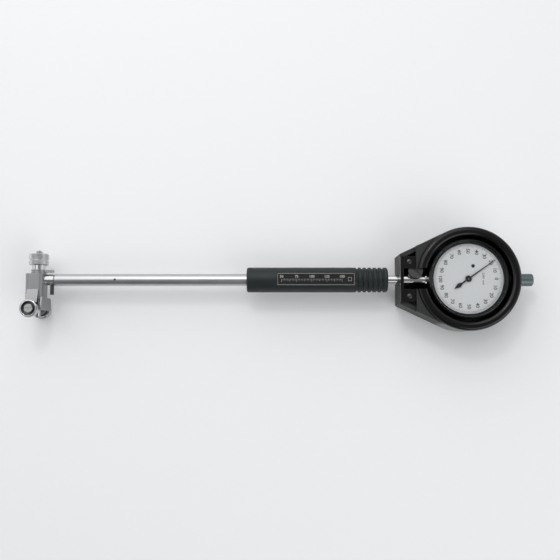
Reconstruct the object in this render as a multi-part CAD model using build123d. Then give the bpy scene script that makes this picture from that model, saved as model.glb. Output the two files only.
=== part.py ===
from build123d import *
import os
from math import atan2, cos, pi, radians, sin

# Dial bore gauge for bores of 50 mm and up, lying on a table with its dial up.
# Lengths are millimetres. The bar runs along X, the measuring line along Y, and Z is up.
# Stations along X count from the measuring line, and levels along Z from the bar's axis.

# Driving dimensions of the whole gauge
tube_front = 11.6
grip_front = 150.9
grip_length = 101.2
measuring_travel = 1.0
overrun = 0.6
running_gap = 0.05
slip_gap = 0.02
seat_gap = 0.1

# Measuring head: body block, boss for the anvil, spigot for the tube
body_width = 12.2
body_offset = -1.3
body_depth = 15.6
body_above = 4.2
body_below = 14.4
body_edge_radius = 2.5
boss_radius = 5.4
boss_length = 3.0
boss_groove_width = 0.8
boss_groove_depth = 0.5
spigot_radius = 4.0
spigot_inside = 9.0
lip_start = 1.8
lip_reach = 5.8
lip_width = 4.0
lip_thickness = 1.7

# Anvil, its sleeve and its lock nut
sleeve_depth = 4.4
sleeve_root_radius = 4.0
sleeve_neck_radius = 4.65
sleeve_neck_length = 3.4
sleeve_thread_radius = 4.2
sleeve_thread_length = 4.9
anvil_shank_radius = 2.5
anvil_shank_depth = 3.2
anvil_flange_radius = 3.9
anvil_flange = 1.2
anvil_tip_radius = 2.3
anvil_tip_length = 4.7
anvil_dome = 1.0
nut_radius = 7.0
nut_cap = 1.9
nut_edge = 0.5
nut_groove_width = 0.8
nut_groove_depth = 0.5
nut_groove_share = 0.4

# Contact point, its bush and the bell crank behind it
crank_arm = 2.6
crank_tip_radius = 0.8
crank_neck_radius = 0.5
crank_root_radius = 1.0
crank_hub_radius = 1.45
crank_thickness = 3.0
crank_room = 0.6
crank_pin_radius = 0.7
crank_pin_cover = 5.0
crank_pin_inset = 0.3
contact_reach = 27.5
contact_radius = 2.0
contact_dome = 1.4
contact_stud_radius = 1.4
contact_nose_radius = 0.7
contact_nose = 1.2
contact_collar_radius = 2.7
contact_collar = 1.2
contact_collar_seat = 10.45
contact_bush_radius = 3.3
contact_bush_out = 4.8
contact_play = 0.2

# Centering bridge with its rollers, pins and screws
guide_travel = 5.0
bridge_plate = 2.2
bridge_stop_gap = 0.4
bridge_hole_radius = 3.6
bridge_web = 1.0
bridge_web_reach = 1.5
arm_width = 8.0
arm_thickness = 3.8
arm_root = 0.9
arm_reach = 7.0
arm_flare_end = 3.1
arm_end_radius = 4.0
roller_offset = -1.5
roller_line = 21.3
roller_radius = 6.25
roller_width = 5.5
roller_gap = 0.3
roller_rim = 1.3
roller_recess = 3.4
roller_hub_radius = 2.6
roller_hub_drop = 1.9
roller_edge = 0.5
roller_bore_gap = 0.05
roller_screw_radius = 1.5
roller_screw_head_radius = 3.0
roller_screw_head = 1.6
roller_screw_hold = 2.6
roller_slot_width = 0.8
roller_slot_depth = 0.7
guide_pin_radius = 0.9
guide_pin_reach = 11.8
guide_pin_room = 6.0
spring_pocket_radius = 1.4
spring_pocket_depth = 6.0
spring_pocket_wall = 0.5

# Tube, push rod and rod bushes
tube_radius = 4.35
tube_bore = 3.25
tube_chamfer = 0.8
neck_screw_station = 9.9
neck_screw_radius = 1.4
neck_screw_depth = 1.2
neck_screw_stand = 6.8
rod_radius = 1.5
rod_dome = 0.8
rod_room = 0.15
rod_bush_length = 8.0
rear_bush_inset = 12.0
bush_pin_station = 56.0
bush_pin_radius = 0.8
bush_pin_inset = 0.2
bush_pin_floor = 0.6

# Grip and label plate
grip_radius = 9.0
grip_edge = 0.8
rib_count = 6
rib_pitch = 3.6
rib_depth = 0.9
rib_crest = 1.5
rib_root = 0.7
rib_end_land = 1.2
label_inset = 21.6
label_length = 56.0
label_width = 9.3
label_thickness = 0.5
label_depth = 1.6
label_gap = 0.15

# Neck and clamp for the dial's stem
clamp_plug_radius = 6.0
clamp_plug_length = 12.1
tube_socket = 6.0
neck_radius = 3.65
neck_bore = 2.9
neck_length = 11.5
collar_wall = 1.08
collar_length = 13.7
collar_floor = 0.8
stem_fit = 0.02
stem_end_gap = 0.4
slit = 1.0
ear_radius = 5.8
ear_height = 9.2
ear_wall = 0.4
ear_station = 8.2
clamp_shank_radius = 1.5
clamp_head_radius = 5.8
clamp_head = 3.4
clamp_head_edge = 0.7
clamp_slot_width = 1.6
clamp_slot_depth = 1.3
clamp_slot_angle = -50.0
clamp_nut_height = 3.5

# Dial indicator: case, back, stem, cap
bezel_radius = 28.5
bezel_wall = 1.35
bezel_skirt_gap = 0.15
case_wall = 3.0
case_ledge = 0.8
case_ledge_height = 1.0
case_depth = 3.7
case_rise = 1.8
stem_boss_radius = 5.5
stem_boss_reach = 1.3
cap_boss_radius = 3.5
cap_boss_reach = 4.0
back_thickness = 1.5
back_screw_radius = 0.65
back_screw_head_radius = 1.2
back_screw_head = 0.8
back_screw_depth = 4.0
back_screw_angles = (45.0, 135.0, 225.0, 315.0)
stem_radius = 4.0
stem_length = 17.0
stem_flange_radius = 5.0
stem_flange = 1.5
cap_wall = 0.98
cap_gap = 0.3
cap_length = 19.7
cap_crown = 2.0
cap_bore_gap = 0.6
cap_edge = 0.6

# Bezel, crystal, face and pointer
bezel_skirt = 2.8
bezel_rise = 1.2
bezel_edge = 0.9
face_inset = 1.0
face_land = 1.0
face_rise = 0.3
face_thickness = 0.5
face_hole = 1.2
crystal_inset = 0.8
crystal_room = 0.55
crystal_thickness = 1.1
crystal_dome = 0.9
lens_gap = 0.08
pointer_inset = 1.8
pointer_rest_angle = 35.0
pointer_rise = 0.5
pointer_thickness = 0.35
pointer_hub = 2.3
pointer_root_width = 1.1
pointer_tip_width = 0.35
pointer_tail = 12.6
pointer_spade_width = 3.2
spade_start_share = 0.42
spade_wide_share = 0.66

# Spindle with its rack, and the train from rack to pointer
spindle_radius = 2.0
spindle_out = 7.6
spindle_past_case = 3.0
tip_stud_radius = 0.9
tip_stud_length = 3.0
tip_flange_gap = 0.25
tip_flange = 3.2
tip_flange_edge = 0.5
tip_nose = 5.1
tip_ball_radius = 1.6
rack_pitch = 0.5
rack_depth = 0.4
rack_gap_count = 9
rack_run_out = 0.9
rack_pinion_teeth = 12
first_wheel_teeth = 40
second_pinion_teeth = 8
second_wheel_teeth = 48
centre_pinion_teeth = 8
first_module = 0.36
second_module = 0.3
second_arbor_angle = -60.0
addendum_share = 0.9
dedendum_share = 1.15
tooth_tip_share = 0.13
tooth_root_share = 0.27
arbor_radius = 0.45
pivot_gap = 0.05
pinion_face = 1.3
rack_pinion_face = 3.0
wheel_thickness = 0.6
wheel_spacing = 1.2
front_plate_gap = 1.0
rear_plate_gap = 3.0
plate_thickness = 0.8
plate_clear = 0.2
pillar_radius = 1.2
pillar_inset = 3.5
pillar_angles = (50.0, 130.0, 230.0, 310.0)
cock_gap = 0.4
cock_thickness = 0.6
cock_width = 3.0
cock_reach = 9.0
cock_foot_radius = 1.5

# Protection cover and the keeper plate that closes it round the neck
cover_play = 2.0
cover_ring_wall = 6.5
cover_floor = 3.0
cover_rise = 1.5
cover_rim_round = 2.6
cover_base_edge = 1.0
cover_foot_gap = 0.7
cover_foot_wall = 2.4
cover_foot_half = 18.0
cover_wall = 2.5
skirt_inset = 12.0
skirt_drop = 3.0
skirt_plate = 2.5
window_half = 7.45
notch_gap = 0.35
cap_hole_gap = 0.3
keeper_length = 11.0
keeper_inset = 1.8
keeper_thickness = 2.0
keeper_gap = 0.15
keeper_head_gap = 0.35
keeper_tongue_gap = 0.3
keeper_screw_edge = 3.9
keeper_screw_inset = 6.3
keeper_screw_radius = 0.8
keeper_screw_depth = 5.0
keeper_head_radius = 1.7
keeper_head = 0.8
keeper_boss_radius = 1.9
keeper_web = 2.4

# Places that follow from the sizes above
left, right, away, near, up, down = (-1, 0, 0), (1, 0, 0), (0, 1, 0), (0, -1, 0), (0, 0, 1), (0, 0, -1)
body_left = body_offset - body_width / 2
body_right = body_offset + body_width / 2
arm_inner = body_depth / 2 + seat_gap
arm_outer = arm_inner + arm_thickness
arm_left = roller_offset - arm_width / 2
arm_right = roller_offset + arm_width / 2
guide_pin_level = contact_bush_radius + slip_gap + spring_pocket_wall + spring_pocket_radius
roller_outer = arm_outer + roller_gap + roller_width
cover_back = -roller_outer
boss_top = body_above + boss_length
sleeve_shoulder = boss_top + sleeve_neck_length
sleeve_top = sleeve_shoulder + sleeve_thread_length
anvil_flange_top = sleeve_top + seat_gap + anvil_flange
nut_top = anvil_flange_top + seat_gap + nut_cap
bridge_inner = body_below + bridge_stop_gap + guide_travel
grip_back = grip_front + grip_length
collar_start = grip_back + neck_length
collar_end = collar_start + collar_length
plug_start = grip_back - clamp_plug_length
tube_end = plug_start + tube_socket
front_bush_station = bush_pin_station - rod_bush_length / 2
rear_bush_station = tube_end - rear_bush_inset - rod_bush_length
label_start = grip_front + label_inset
label_level = grip_radius - label_depth
collar_radius = stem_radius + stem_fit + collar_wall
ear_offset = stem_radius + clamp_shank_radius + ear_wall
clamp_x = collar_start + ear_station

# Radii and lengths of the dial, counted from its centre
case_radius = bezel_radius - bezel_wall - bezel_skirt_gap
case_bore = case_radius - case_wall
back_screw_circle = case_radius - case_wall / 2
face_radius = case_radius - face_inset
crystal_radius = case_radius - crystal_inset
bezel_opening = face_radius - face_land
pointer_length = bezel_opening - pointer_inset
pillar_circle = case_bore - pillar_inset
stem_end = case_radius + stem_length
spindle_front = stem_end + spindle_out
spindle_back = case_radius + spindle_past_case
tip_flange_radius = neck_bore - tip_flange_gap
tip_end = spindle_front + tip_flange + tip_nose
cap_radius = cap_boss_radius + slip_gap + cap_wall
cap_bore = spindle_radius + cap_bore_gap
cap_start = bezel_radius + cap_gap
cap_end = cap_start + cap_length
rack_pinion_radius = rack_pinion_teeth * rack_pitch / (2 * pi)
rack_line = spindle_radius - rack_depth
dial_centre_x = collar_start + collar_floor + stem_end_gap + stem_end
spindle_tip_x = dial_centre_x - tip_end

# Levels of the dial, stacked up and down from the spindle's axis
cock_level = spindle_radius + cock_gap
first_wheel_level = cock_level + cock_thickness
second_wheel_level = first_wheel_level + wheel_thickness + wheel_spacing
front_plate_level = second_wheel_level + wheel_thickness + front_plate_gap
case_front = front_plate_level + plate_thickness + case_rise
face_level = case_front + face_rise
pointer_level = face_level + face_thickness + pointer_rise
crystal_level = pointer_level + pointer_thickness + crystal_room
bezel_top = crystal_level + crystal_thickness + bezel_rise
bezel_bottom = case_front - bezel_skirt
rear_plate_level = -spindle_radius - rear_plate_gap
case_back = plate_thickness + case_depth - rear_plate_level

# Places of the protection cover, counted from the dial's centre
cover_bore = bezel_radius + cover_play
cover_radius = cover_bore + cover_ring_wall
cover_rim = bezel_top + cover_rise
cover_foot = dial_centre_x - collar_start + cover_foot_gap + cover_foot_wall
skirt_start = cover_bore - skirt_inset
skirt_top = cover_rim - skirt_drop
notch_half = neck_radius + notch_gap
cap_hole_radius = cap_radius + cap_hole_gap
cap_hole_start = cover_bore - overrun
keeper_half = cover_foot_half - keeper_inset
keeper_level = ear_height / 2 + running_gap + clamp_head + keeper_head_gap
keeper_tongue_half = notch_half - keeper_tongue_gap
keeper_screw_half = keeper_half - keeper_screw_edge

# The frame's origin is under the middle of the gauge, on the surface that it lies on
gauge_start = min(body_left, roller_offset - roller_radius)
gauge_end = dial_centre_x + cap_end
middle_x = (gauge_start + gauge_end) / 2


# Shared shapes
def bar(radius, length, direction, start):
    """A round bar from start along direction."""
    blank = Cylinder(radius, length, align=(Align.CENTER, Align.CENTER, Align.MIN))
    return Plane(origin=start, z_dir=direction) * blank


def block(low, high):
    """A box between two corners."""
    size = [b - a for a, b in zip(low, high)]
    return Pos(*low) * Box(*size, align=(Align.MIN, Align.MIN, Align.MIN))


def turned(outline, direction, start=(0, 0, 0)):
    """A turned piece: outline lists (radius, distance along direction from start)."""
    face = make_face(Polyline(*[(r, 0, s) for r, s in outline], close=True))
    return Plane(origin=start, z_dir=direction) * revolve(face, Axis.Z)


def plate(points, level, thickness):
    """A flat plate with the given outline, from level upwards."""
    return Pos(0, 0, level) * extrude(make_face(Polyline(*points, close=True)), thickness)


def domed(radius, length, dome, direction, start):
    """A round bar whose far end is a shallow ball over the last part of its length."""
    ball = (radius**2 + dome**2) / (2 * dome)
    half = radius / 2
    shoulder, middle = length - dome, length - ball + (ball**2 - half**2) ** 0.5
    sides = Polyline((0, 0, length), (0, 0, 0), (radius, 0, 0), (radius, 0, shoulder))
    cap = ThreePointArc((radius, 0, shoulder), (half, 0, middle), (0, 0, length))
    return Plane(origin=start, z_dir=direction) * revolve(make_face(sides + cap), Axis.Z)


def around(circle, angles, level):
    """Places on a circle about Z, at the given angles in degrees."""
    return [(circle * cos(radians(angle)), circle * sin(radians(angle)), level) for angle in angles]


def gear(teeth, pitch_radius, thickness, tooth_angle):
    """A spur wheel on Z with a tooth centred on tooth_angle, in radians."""
    module = 2 * pitch_radius / teeth
    tip, root = pitch_radius + addendum_share * module, pitch_radius - dedendum_share * module
    step = 2 * pi / teeth
    flank = [(root, tooth_root_share), (tip, tooth_tip_share)]
    outline = [(r, -share) for r, share in flank] + flank[::-1]
    points = []
    for tooth in range(teeth):
        middle = tooth_angle + tooth * step
        points += [(r * cos(middle + share * step), r * sin(middle + share * step)) for r, share in outline]
    return plate(points, 0, thickness)


# Measuring head
def head_body():
    """The block that carries the anvil, the contact, the bridge and the tube."""
    half_z = body_depth / 2
    body = block((body_left, -body_below, -half_z), (body_right, body_above, half_z))
    body = fillet(body.edges().filter_by(Axis.Y), body_edge_radius)
    body += bar(boss_radius, boss_length + overrun, away, (0, body_above - overrun, 0))
    groove_floor, groove_start = boss_radius - boss_groove_depth, body_above + boss_length / 2
    groove_end, groove_mouth = groove_start + boss_groove_width, boss_radius + overrun
    groove = [(groove_floor, groove_start), (groove_mouth, groove_start), (groove_mouth, groove_end)]
    body -= turned(groove + [(groove_floor, groove_end)], away)
    body += bar(spigot_radius, tube_front - body_right + overrun, right, (body_right - overrun, 0, 0))
    body += bar(tube_bore - slip_gap, tube_front + spigot_inside - body_right, right, (body_right, 0, 0))
    lip_top = boss_top - seat_gap
    lip_end = body_right + lip_reach
    body += block((lip_start, lip_top - lip_thickness, -lip_width / 2), (lip_end, lip_top, lip_width / 2))
    # Bores for the anvil sleeve, the contact with its bush, and the rod
    body -= bar(sleeve_root_radius + slip_gap, sleeve_depth + overrun, away, (0, boss_top - sleeve_depth, 0))
    bush_seat = contact_collar_seat - contact_collar - measuring_travel - contact_play
    mouth = (0, -body_below - overrun, 0)
    body -= bar(contact_bush_radius + slip_gap, body_below - bush_seat + overrun, away, mouth)
    body -= bar(contact_stud_radius + contact_play, body_below - crank_arm + overrun, away, mouth)
    body -= bar(rod_radius + rod_room, tube_front + spigot_inside, right, (crank_arm, 0, 0))
    screw_end = (neck_screw_station, -spigot_radius + neck_screw_depth, 0)
    body -= bar(neck_screw_radius, neck_screw_depth + overrun, near, screw_end)
    # Pocket for the bell crank and the hole for its pin
    reach = crank_hub_radius + crank_room / 2
    room = crank_tip_radius + crank_room
    slot = crank_thickness / 2 + seat_gap
    body -= block((-room, -crank_arm - reach, -slot), (crank_arm + reach, room, slot))
    pin_length = half_z + crank_pin_cover
    body -= bar(crank_pin_radius, pin_length + overrun, up, (crank_arm, -crank_arm, -half_z - overrun))
    # Bores for the bridge's pins and springs
    for side in (-1, 1):
        mouth = (0, -body_below - overrun, side * guide_pin_level)
        pocket = spring_pocket_depth + overrun
        body -= bar(spring_pocket_radius, pocket, away, mouth)
        body -= bar(guide_pin_radius + running_gap, guide_pin_room + pocket, away, mouth)
    return body


def neck_screw():
    """The screw that locks the tube's spigot, standing out towards the contact side."""
    start = (neck_screw_station, -spigot_radius + neck_screw_depth, 0)
    length = neck_screw_stand + neck_screw_depth
    screw = bar(neck_screw_radius, length, near, start)
    half, wide = roller_slot_width / 2, neck_screw_radius + overrun
    end = start[1] - length
    low = (neck_screw_station - wide, end - overrun, -half)
    high = (neck_screw_station + wide, end + roller_slot_depth, half)
    return screw - block(low, high)


def anvil_sleeve():
    """The turned sleeve screwed into the boss, whose upper thread takes the lock nut."""
    bottom = boss_top - sleeve_depth
    bore = anvil_shank_radius + slip_gap
    outline = [
        (bore, bottom),
        (sleeve_root_radius, bottom),
        (sleeve_root_radius, boss_top),
        (sleeve_neck_radius, boss_top),
        (sleeve_neck_radius, sleeve_shoulder),
        (sleeve_thread_radius, sleeve_shoulder),
        (sleeve_thread_radius, sleeve_top),
        (bore, sleeve_top),
    ]
    return turned(outline, away)


def anvil():
    """The shortest exchangeable anvil, with a rounded hard tip."""
    start = boss_top - anvil_shank_depth
    flange_bottom = sleeve_top + seat_gap
    piece = bar(anvil_shank_radius, flange_bottom - start + slip_gap, away, (0, start, 0))
    piece += bar(anvil_flange_radius, anvil_flange, away, (0, flange_bottom, 0))
    tip_start = (0, anvil_flange_top - slip_gap, 0)
    return piece + domed(anvil_tip_radius, anvil_tip_length + slip_gap, anvil_dome, away, tip_start)


def anvil_nut():
    """The knurled lock nut: two bands with a groove between them, closed over the anvil's flange."""
    bottom = sleeve_shoulder + seat_gap
    height = nut_top - bottom
    groove = bottom + height * nut_groove_share
    thread = sleeve_thread_radius + running_gap
    outline = [
        (thread, bottom),
        (nut_radius - nut_edge, bottom),
        (nut_radius, bottom + nut_edge),
        (nut_radius, groove),
        (nut_radius - nut_groove_depth, groove),
        (nut_radius - nut_groove_depth, groove + nut_groove_width),
        (nut_radius, groove + nut_groove_width),
        (nut_radius, nut_top - nut_edge),
        (nut_radius - nut_edge, nut_top),
        (anvil_tip_radius + running_gap, nut_top),
        (anvil_tip_radius + running_gap, anvil_flange_top + seat_gap),
        (thread, anvil_flange_top + seat_gap),
    ]
    return turned(outline, away)


def contact_bush():
    """The hard bush that the contact point slides in."""
    inner, outer = contact_radius + running_gap, contact_bush_radius
    inside_end = contact_collar_seat + running_gap
    outside_end = body_below + contact_bush_out
    outline = [(inner, inside_end), (outer, inside_end), (outer, outside_end), (inner, outside_end)]
    return turned(outline, near)


def contact_point():
    """The moving contact: stud, retaining collar, shank and rounded hard tip."""
    nose_start = crank_arm + crank_tip_radius + running_gap
    stud_start = nose_start + contact_nose
    piece = bar(contact_nose_radius, contact_nose, near, (0, -nose_start, 0))
    piece += bar(contact_stud_radius, contact_collar_seat - stud_start, near, (0, -stud_start, 0))
    piece += bar(contact_collar_radius, contact_collar, near, (0, contact_collar - contact_collar_seat, 0))
    shank = contact_reach - contact_collar_seat + slip_gap
    return piece + domed(contact_radius, shank, contact_dome, near, (0, slip_gap - contact_collar_seat, 0))


def bell_crank():
    """The two-armed lever that turns the contact's travel through a right angle."""
    half = crank_thickness / 2
    lever = bar(crank_hub_radius, crank_thickness, up, (crank_arm, -crank_arm, -half))
    for tip_x, tip_y in ((0, -crank_arm), (crank_arm, 0)):
        neck = Pos(tip_x, tip_y) * Circle(crank_neck_radius)
        root = Pos(crank_arm, -crank_arm) * Circle(crank_root_radius)
        arm = make_hull(neck.edges() + root.edges())
        lever += Pos(0, 0, -half) * extrude(arm, crank_thickness)
        lever += bar(crank_tip_radius, crank_thickness, up, (tip_x, tip_y, -half))
    hole_start = (crank_arm, -crank_arm, -half - overrun)
    return lever - bar(crank_pin_radius + slip_gap, crank_thickness + 2 * overrun, up, hole_start)


def crank_pin():
    """The pin that the bell crank turns on, pressed in from the underside."""
    start = -body_depth / 2 + crank_pin_inset
    return bar(crank_pin_radius, crank_pin_cover - start, up, (crank_arm, -crank_arm, start))


# Centering bridge
def guide_bridge():
    """The sprung bridge: a plate round the contact, two flared arms for the rollers, and a web."""
    outer_y = bridge_inner + bridge_plate
    arm_start, flare_end = arm_reach - body_below, -body_below - arm_flare_end
    flank = [(arm_start, arm_inner + arm_root), (flare_end, arm_outer), (-outer_y, arm_outer)]
    outline = flank + [(y, -z) for y, z in flank[::-1]]
    web_start = body_right + seat_gap
    profile = Plane.YZ.offset(arm_left) * make_face(Polyline(*outline, close=True))
    bridge = extrude(profile, web_start + bridge_web - arm_left)
    # Room for the body, and the open strips beside the arms and above the web
    end = arm_start + overrun
    bridge -= block((arm_left - overrun, -bridge_inner, -arm_inner), (web_start, end, arm_inner))
    bridge -= block((arm_right, -bridge_inner, -arm_outer), (web_start, end, arm_outer))
    web_end = bridge_web_reach - body_below
    bridge -= block((arm_right, web_end, -arm_outer), (web_start + bridge_web + overrun, end, arm_outer))
    cut_start, cut = -outer_y - overrun, bridge_plate + 2 * overrun
    for side in (-1, 1):
        low_z = min(side * arm_outer, side * arm_inner)
        bridge += bar(arm_end_radius, arm_thickness, up, (roller_offset, -roller_line, low_z))
        hole_end = (roller_offset, -roller_line, side * (arm_outer - roller_screw_hold - seat_gap))
        bridge -= bar(roller_screw_radius, roller_screw_hold + seat_gap + overrun, (0, 0, side), hole_end)
        bridge -= bar(guide_pin_radius, cut, away, (0, cut_start, side * guide_pin_level))
    return bridge - bar(bridge_hole_radius, cut, away, (0, cut_start, 0))


def guide_pins():
    """Two pins pressed into the bridge, sliding in the head."""
    start = -bridge_inner - bridge_plate
    places = [(0, start, side * guide_pin_level) for side in (-1, 1)]
    return Compound([bar(guide_pin_radius, guide_pin_reach, away, place) for place in places])


def roller(side):
    """A hardened centring roller, dished round its screw."""
    inner = arm_outer + roller_gap
    hub_top = roller_width - roller_hub_drop
    floor = roller_width - roller_recess
    outline = [
        (roller_screw_radius + roller_bore_gap, 0),
        (roller_radius - roller_edge, 0),
        (roller_radius, roller_edge),
        (roller_radius, roller_width - roller_edge),
        (roller_radius - roller_edge, roller_width),
        (roller_radius - roller_rim, roller_width),
        (roller_radius - roller_rim, floor),
        (roller_hub_radius, floor),
        (roller_hub_radius, hub_top),
        (roller_screw_radius + roller_bore_gap, hub_top),
    ]
    return turned(outline, (0, 0, side), (roller_offset, -roller_line, side * inner))


def roller_screws():
    """Two slotted screws that hold the rollers to the bridge's arms."""
    screws = []
    shank = roller_screw_hold + roller_gap + roller_width - roller_hub_drop + running_gap
    for side in (-1, 1):
        start = (roller_offset, -roller_line, side * (arm_outer - roller_screw_hold))
        outline = [
            (0, 0),
            (roller_screw_radius, 0),
            (roller_screw_radius, shank),
            (roller_screw_head_radius, shank),
            (roller_screw_head_radius, shank + roller_screw_head),
            (0, shank + roller_screw_head),
        ]
        screw = turned(outline, (0, 0, side), start)
        top = start[2] + side * (shank + roller_screw_head)
        low_z, high_z = sorted((top - side * roller_slot_depth, top + side * overrun))
        half, wide = roller_slot_width / 2, roller_screw_head_radius + overrun
        low = (roller_offset - wide, -roller_line - half, low_z)
        high = (roller_offset + wide, -roller_line + half, high_z)
        screws.append(screw - block(low, high))
    return Compound(screws)


# Tube and rod
def tube():
    """The long tube between head and grip."""
    outline = [
        (tube_bore, tube_front),
        (tube_radius - tube_chamfer, tube_front),
        (tube_radius, tube_front + tube_chamfer),
        (tube_radius, tube_end),
        (tube_bore, tube_end),
    ]
    return turned(outline, right) - bar(bush_pin_radius, tube_radius + overrun, up, (bush_pin_station, 0, 0))


def push_rod():
    """The rod that carries the crank's travel to the dial."""
    start = crank_arm + crank_tip_radius + running_gap
    length = spindle_tip_x - running_gap - start
    rear = domed(rod_radius, length / 2, rod_dome, right, (start + length / 2, 0, 0))
    return rear + domed(rod_radius, length / 2, rod_dome, left, (start + length / 2, 0, 0))


def bush_pin():
    """The pin through the tube's wall that holds the front bush, sunk a little below the surface."""
    bottom = rod_radius + running_gap + bush_pin_floor
    return bar(bush_pin_radius, tube_radius - bush_pin_inset - bottom, up, (bush_pin_station, 0, bottom))


def rod_bush(station):
    """A plain bush that guides the rod in the tube."""
    outline = [
        (rod_radius + running_gap, station),
        (tube_bore - slip_gap, station),
        (tube_bore - slip_gap, station + rod_bush_length),
        (rod_radius + running_gap, station + rod_bush_length),
    ]
    return turned(outline, right)


# Grip
def grip():
    """The moulded grip with its ribbed rear end and the flat for the label."""
    bore, counterbore = tube_radius + slip_gap, clamp_plug_radius + slip_gap
    outline = [
        (bore, grip_front),
        (grip_radius - grip_edge, grip_front),
        (grip_radius, grip_front + grip_edge),
    ]
    ribs_start = grip_back - rib_end_land - rib_count * rib_pitch
    flank = (rib_pitch - rib_crest - rib_root) / 2
    for rib in range(rib_count):
        start = ribs_start + rib * rib_pitch
        outline += [
            (grip_radius, start),
            (grip_radius - rib_depth, start + flank),
            (grip_radius - rib_depth, start + flank + rib_root),
            (grip_radius, start + 2 * flank + rib_root),
        ]
    outline += [
        (grip_radius, grip_back - grip_edge),
        (grip_radius - grip_edge, grip_back),
        (counterbore, grip_back),
        (counterbore, plug_start - seat_gap),
        (bore, plug_start - seat_gap),
    ]
    half = label_width / 2 + label_gap
    low = (label_start - label_gap, -half, label_level)
    high = (label_start + label_length + label_gap, half, grip_radius + overrun)
    return turned(outline, right) - block(low, high)


def label_plate():
    """The flat plate let into the grip."""
    low = (label_start, -label_width / 2, label_level)
    high = (label_start + label_length, label_width / 2, label_level + label_thickness)
    return block(low, high)


# Clamp for the dial's stem
def dial_clamp():
    """Plug, neck, and a slit collar with two ears, turned and milled from one piece."""
    socket = tube_radius + slip_gap
    outline = [
        (socket, plug_start),
        (clamp_plug_radius, plug_start),
        (clamp_plug_radius, grip_back),
        (neck_radius, grip_back),
        (neck_radius, collar_start),
        (collar_radius, collar_start),
        (collar_radius, collar_end),
        (stem_radius + stem_fit, collar_end),
        (stem_radius + stem_fit, collar_start + collar_floor),
        (neck_bore, collar_start + collar_floor),
        (neck_bore, tube_end + seat_gap),
        (socket, tube_end + seat_gap),
    ]
    clamp = turned(outline, right)
    half = ear_height / 2
    ears = bar(ear_radius, ear_height, up, (clamp_x, ear_offset, -half))
    ears -= bar(stem_radius + stem_fit, collar_length, right, (collar_start + collar_floor, 0, 0))
    clamp += ears
    slit_end = (collar_end + overrun, ear_offset + ear_radius + overrun, slit / 2)
    clamp -= block((collar_start, 0, -slit / 2), slit_end)
    # Spot faces under the screw's head and the nut, where the round collar stands higher than the ears
    for side in (-1, 1):
        clamp -= bar(ear_radius + seat_gap, collar_radius, (0, 0, side), (clamp_x, ear_offset, side * half))
    hole_start = (clamp_x, ear_offset, -half - overrun)
    return clamp - bar(clamp_shank_radius + running_gap, ear_height + 2 * overrun, up, hole_start)


def clamp_screw():
    """The coin-slotted screw that closes the collar on the stem."""
    bottom = -ear_height / 2 - clamp_nut_height
    seat = ear_height / 2 + running_gap
    outline = [
        (0, bottom),
        (clamp_shank_radius, bottom),
        (clamp_shank_radius, seat),
        (clamp_head_radius, seat),
        (clamp_head_radius, seat + clamp_head - clamp_head_edge),
        (clamp_head_radius - clamp_head_edge, seat + clamp_head),
        (0, seat + clamp_head),
    ]
    screw = turned(outline, up, (clamp_x, ear_offset, 0))
    top = seat + clamp_head
    half, wide = clamp_slot_width / 2, clamp_head_radius + overrun
    slot = block((-wide, -half, top - clamp_slot_depth), (wide, half, top + overrun))
    return screw - Pos(clamp_x, ear_offset) * Rot(0, 0, clamp_slot_angle) * slot


def clamp_nut():
    """The round nut under the lower ear."""
    top = -ear_height / 2 - slip_gap
    bottom = top - clamp_nut_height
    outline = [
        (clamp_shank_radius + running_gap, bottom),
        (ear_radius - clamp_head_edge, bottom),
        (ear_radius, bottom + clamp_head_edge),
        (ear_radius, top),
        (clamp_shank_radius + running_gap, top),
    ]
    return turned(outline, up, (clamp_x, ear_offset, 0))


# Dial indicator, modelled about its own centre and moved to dial_centre_x at the end
def dial_case():
    """The case ring with a ledge for the movement and bosses for stem and cap."""
    ledge_top = front_plate_level
    outline = [
        (case_bore, -case_back),
        (case_radius, -case_back),
        (case_radius, case_front),
        (case_bore, case_front),
        (case_bore, ledge_top),
        (case_bore - case_ledge, ledge_top),
        (case_bore - case_ledge, ledge_top - case_ledge_height),
        (case_bore, ledge_top - case_ledge_height),
    ]
    case = turned(outline, up)
    inner = case_bore + overrun
    bosses = bar(stem_boss_radius, case_radius + stem_boss_reach - inner, left, (-inner, 0, 0))
    bosses += bar(cap_boss_radius, case_radius + cap_boss_reach - inner, right, (inner, 0, 0))
    case += bosses
    case -= bar(stem_radius + slip_gap, case_radius, left, (overrun - case_bore, 0, 0))
    case -= bar(spindle_radius + running_gap, case_radius, right, (case_bore - overrun, 0, 0))
    for place in around(back_screw_circle, back_screw_angles, -case_back):
        case -= bar(back_screw_radius, back_screw_depth, up, place)
    return case


def back_cover():
    """The flat back of the dial's case."""
    cover = bar(case_radius - seat_gap, back_thickness, down, (0, 0, -case_back))
    for place in around(back_screw_circle, back_screw_angles, -case_back):
        cover -= bar(back_screw_radius, back_thickness, down, place)
    return cover


def back_screws():
    """The screws of the back cover."""
    screws = []
    shank = back_thickness + back_screw_depth
    for place in around(back_screw_circle, back_screw_angles, -case_back - back_thickness):
        head = bar(back_screw_head_radius, back_screw_head, down, place)
        screws.append(head + bar(back_screw_radius, shank, up, place))
    return Compound(screws)


def stem():
    """The fitting stem, with the flange that seats on the case's boss."""
    seat = case_radius + stem_boss_reach
    bore = spindle_radius + running_gap
    outline = [
        (bore, case_bore),
        (stem_radius, case_bore),
        (stem_radius, seat),
        (stem_flange_radius, seat),
        (stem_flange_radius, seat + stem_flange),
        (stem_radius, seat + stem_flange),
        (stem_radius, stem_end),
        (bore, stem_end),
    ]
    return turned(outline, left)


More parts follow.
